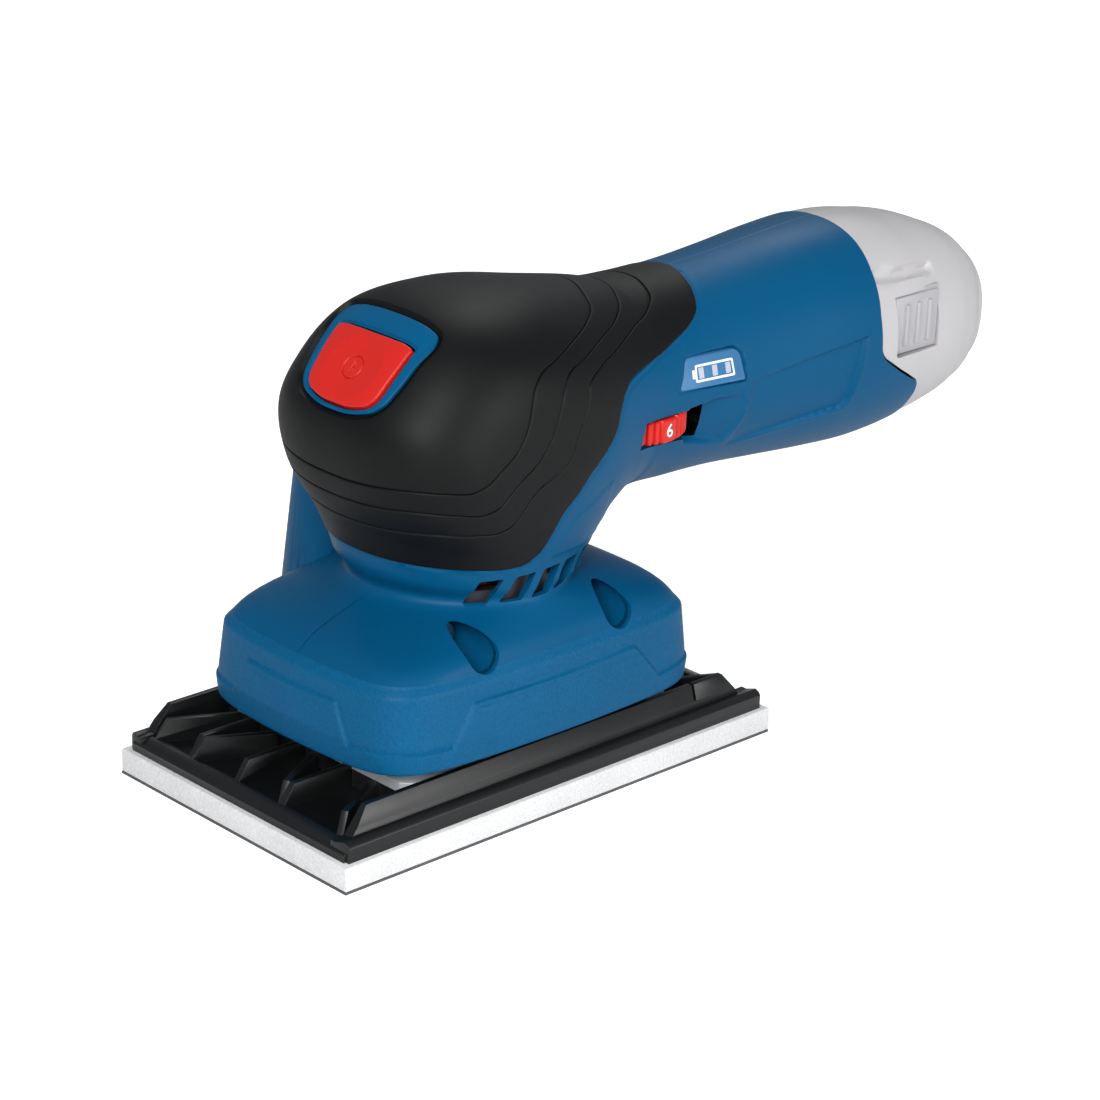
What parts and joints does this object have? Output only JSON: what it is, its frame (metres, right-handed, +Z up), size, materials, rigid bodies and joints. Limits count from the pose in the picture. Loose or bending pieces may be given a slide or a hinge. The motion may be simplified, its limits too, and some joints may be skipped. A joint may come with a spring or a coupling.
{
  "type": "cordless palm sander",
  "caption": "Cordless palm sander with a rectangular ribbed sole on a foam pad, round neck, soft-grip head with a top switch, handle with speed dial, and slide-out battery.",
  "frame": {"origin": "centre of the sole's underside, on the surface that is sanded, under the motor's axis", "axes": "+Z up along the motor's axis; +Y towards the handle and the battery; +X towards the side with the speed dial"},
  "size_m": [0.0949, 0.2325, 0.1149],
  "materials": {
    "body_blue": "fine-textured glass-filled plastic",
    "grip_rubber": "soft satin elastomer",
    "control_red": "satin",
    "plate_black": "satin moulded",
    "foam": "fine closed-cell foam",
    "hooks": "hook backing",
    "carrier_metal": "die-cast",
    "lamp": "frosted light guide",
    "battery_light": "satin",
    "battery_grey": "satin",
    "dark_plastic": "moulded",
    "steel": "ground",
    "lamination_steel": "stacked sheets",
    "magnet_grey": "coated",
    "copper": "enamelled wire",
    "contact_brass": "plated",
    "board_green": "lacquered",
    "lead_sheath": "silicone sheath",
    "cell_wrap": "shrink wrap"
  },
  "bodies": {
    "housing": {"housing_right": "body_blue", "housing_left": "body_blue", "soft_grip": "grip_rubber", "housing_screws": "steel", "dust_outlet": "body_blue", "switch_bezel": "body_blue", "switch_unit": "dark_plastic", "button_spring": "steel", "dial_potentiometer": "dark_plastic", "charge_display": "body_blue", "charge_lights": "lamp", "control_board": "board_green", "board_capacitors": "dark_plastic", "terminal_block": "dark_plastic", "contact_blades": "contact_brass", "motor_leads": "lead_sheath", "motor_frame": "dark_plastic", "motor_stator": "lamination_steel", "stator_windings": "copper", "lower_bearing": "steel", "upper_bearing": "steel", "bearing_bracket": "dark_plastic", "bracket_screws": "steel", "fan_shroud": "dark_plastic", "elastic_posts": "grip_rubber"},
    "rotor": {"rotor_shaft": "steel", "rotor_core": "lamination_steel", "rotor_magnets": "magnet_grey", "fan": "dark_plastic", "counterweight": "lamination_steel", "eccentric": "steel", "eccentric_screw": "steel"},
    "sole": {"plate_bearing": "steel", "post_screws": "steel", "carrier_plate": "carrier_metal", "carrier_screws": "steel", "sanding_plate": "plate_black", "foam_pad": "foam", "hook_layer": "hooks"},
    "button": {"switch_button": "control_red"},
    "dial": {"speed_dial": "control_red"},
    "battery": {"battery_stem": "battery_grey", "battery_cap": "battery_light", "battery_cells": "cell_wrap", "battery_contacts": "contact_brass", "key_spring_right": "steel", "key_spring_left": "steel"},
    "key_right": {"battery_key_right": "battery_light"},
    "key_left": {"battery_key_left": "battery_light"}
  },
  "joints": [
    {"name": "motor_spin", "type": "hinge", "parent": "housing", "child": "rotor", "pos_m": [0, 0, 0.05], "axis": [0, 0, 1], "continuous": true, "deforming": ["elastic_posts"]},
    {"name": "sole_orbit", "type": "hinge", "parent": "rotor", "child": "sole", "pos_m": [0.0008, 0, 0.019], "axis": [0, 0, 1], "continuous": true, "deforming": ["elastic_posts"]},
    {"name": "button_press", "type": "slide", "parent": "housing", "child": "button", "axis": [0, 0.7071, -0.7071], "range_m": [0, 0.0016], "stiffness_N_per_m": 900, "springref_m": -0.002, "deforming": ["button_spring"]},
    {"name": "dial_turn", "type": "hinge", "parent": "housing", "child": "dial", "pos_m": [0.0107, 0.0418, 0.078], "axis": [0, 0, 1], "range_deg": [-150, 150]},
    {"name": "battery_slide", "type": "slide", "parent": "housing", "child": "battery", "axis": [0, 1, 0], "range_m": [0, 0.05]},
    {"name": "key_press_right", "type": "slide", "parent": "battery", "child": "key_right", "axis": [-1, 0, 0], "range_m": [0, 0.0016], "stiffness_N_per_m": 800, "springref_m": -0.001, "deforming": ["key_spring_right"]},
    {"name": "key_press_left", "type": "slide", "parent": "battery", "child": "key_left", "axis": [1, 0, 0], "range_m": [0, 0.0016], "stiffness_N_per_m": 800, "springref_m": -0.001, "deforming": ["key_spring_left"]}
  ],
  "couplings": [
    {"joint": "sole_orbit", "follows": "motor_spin", "ratio": -1}
  ]
}
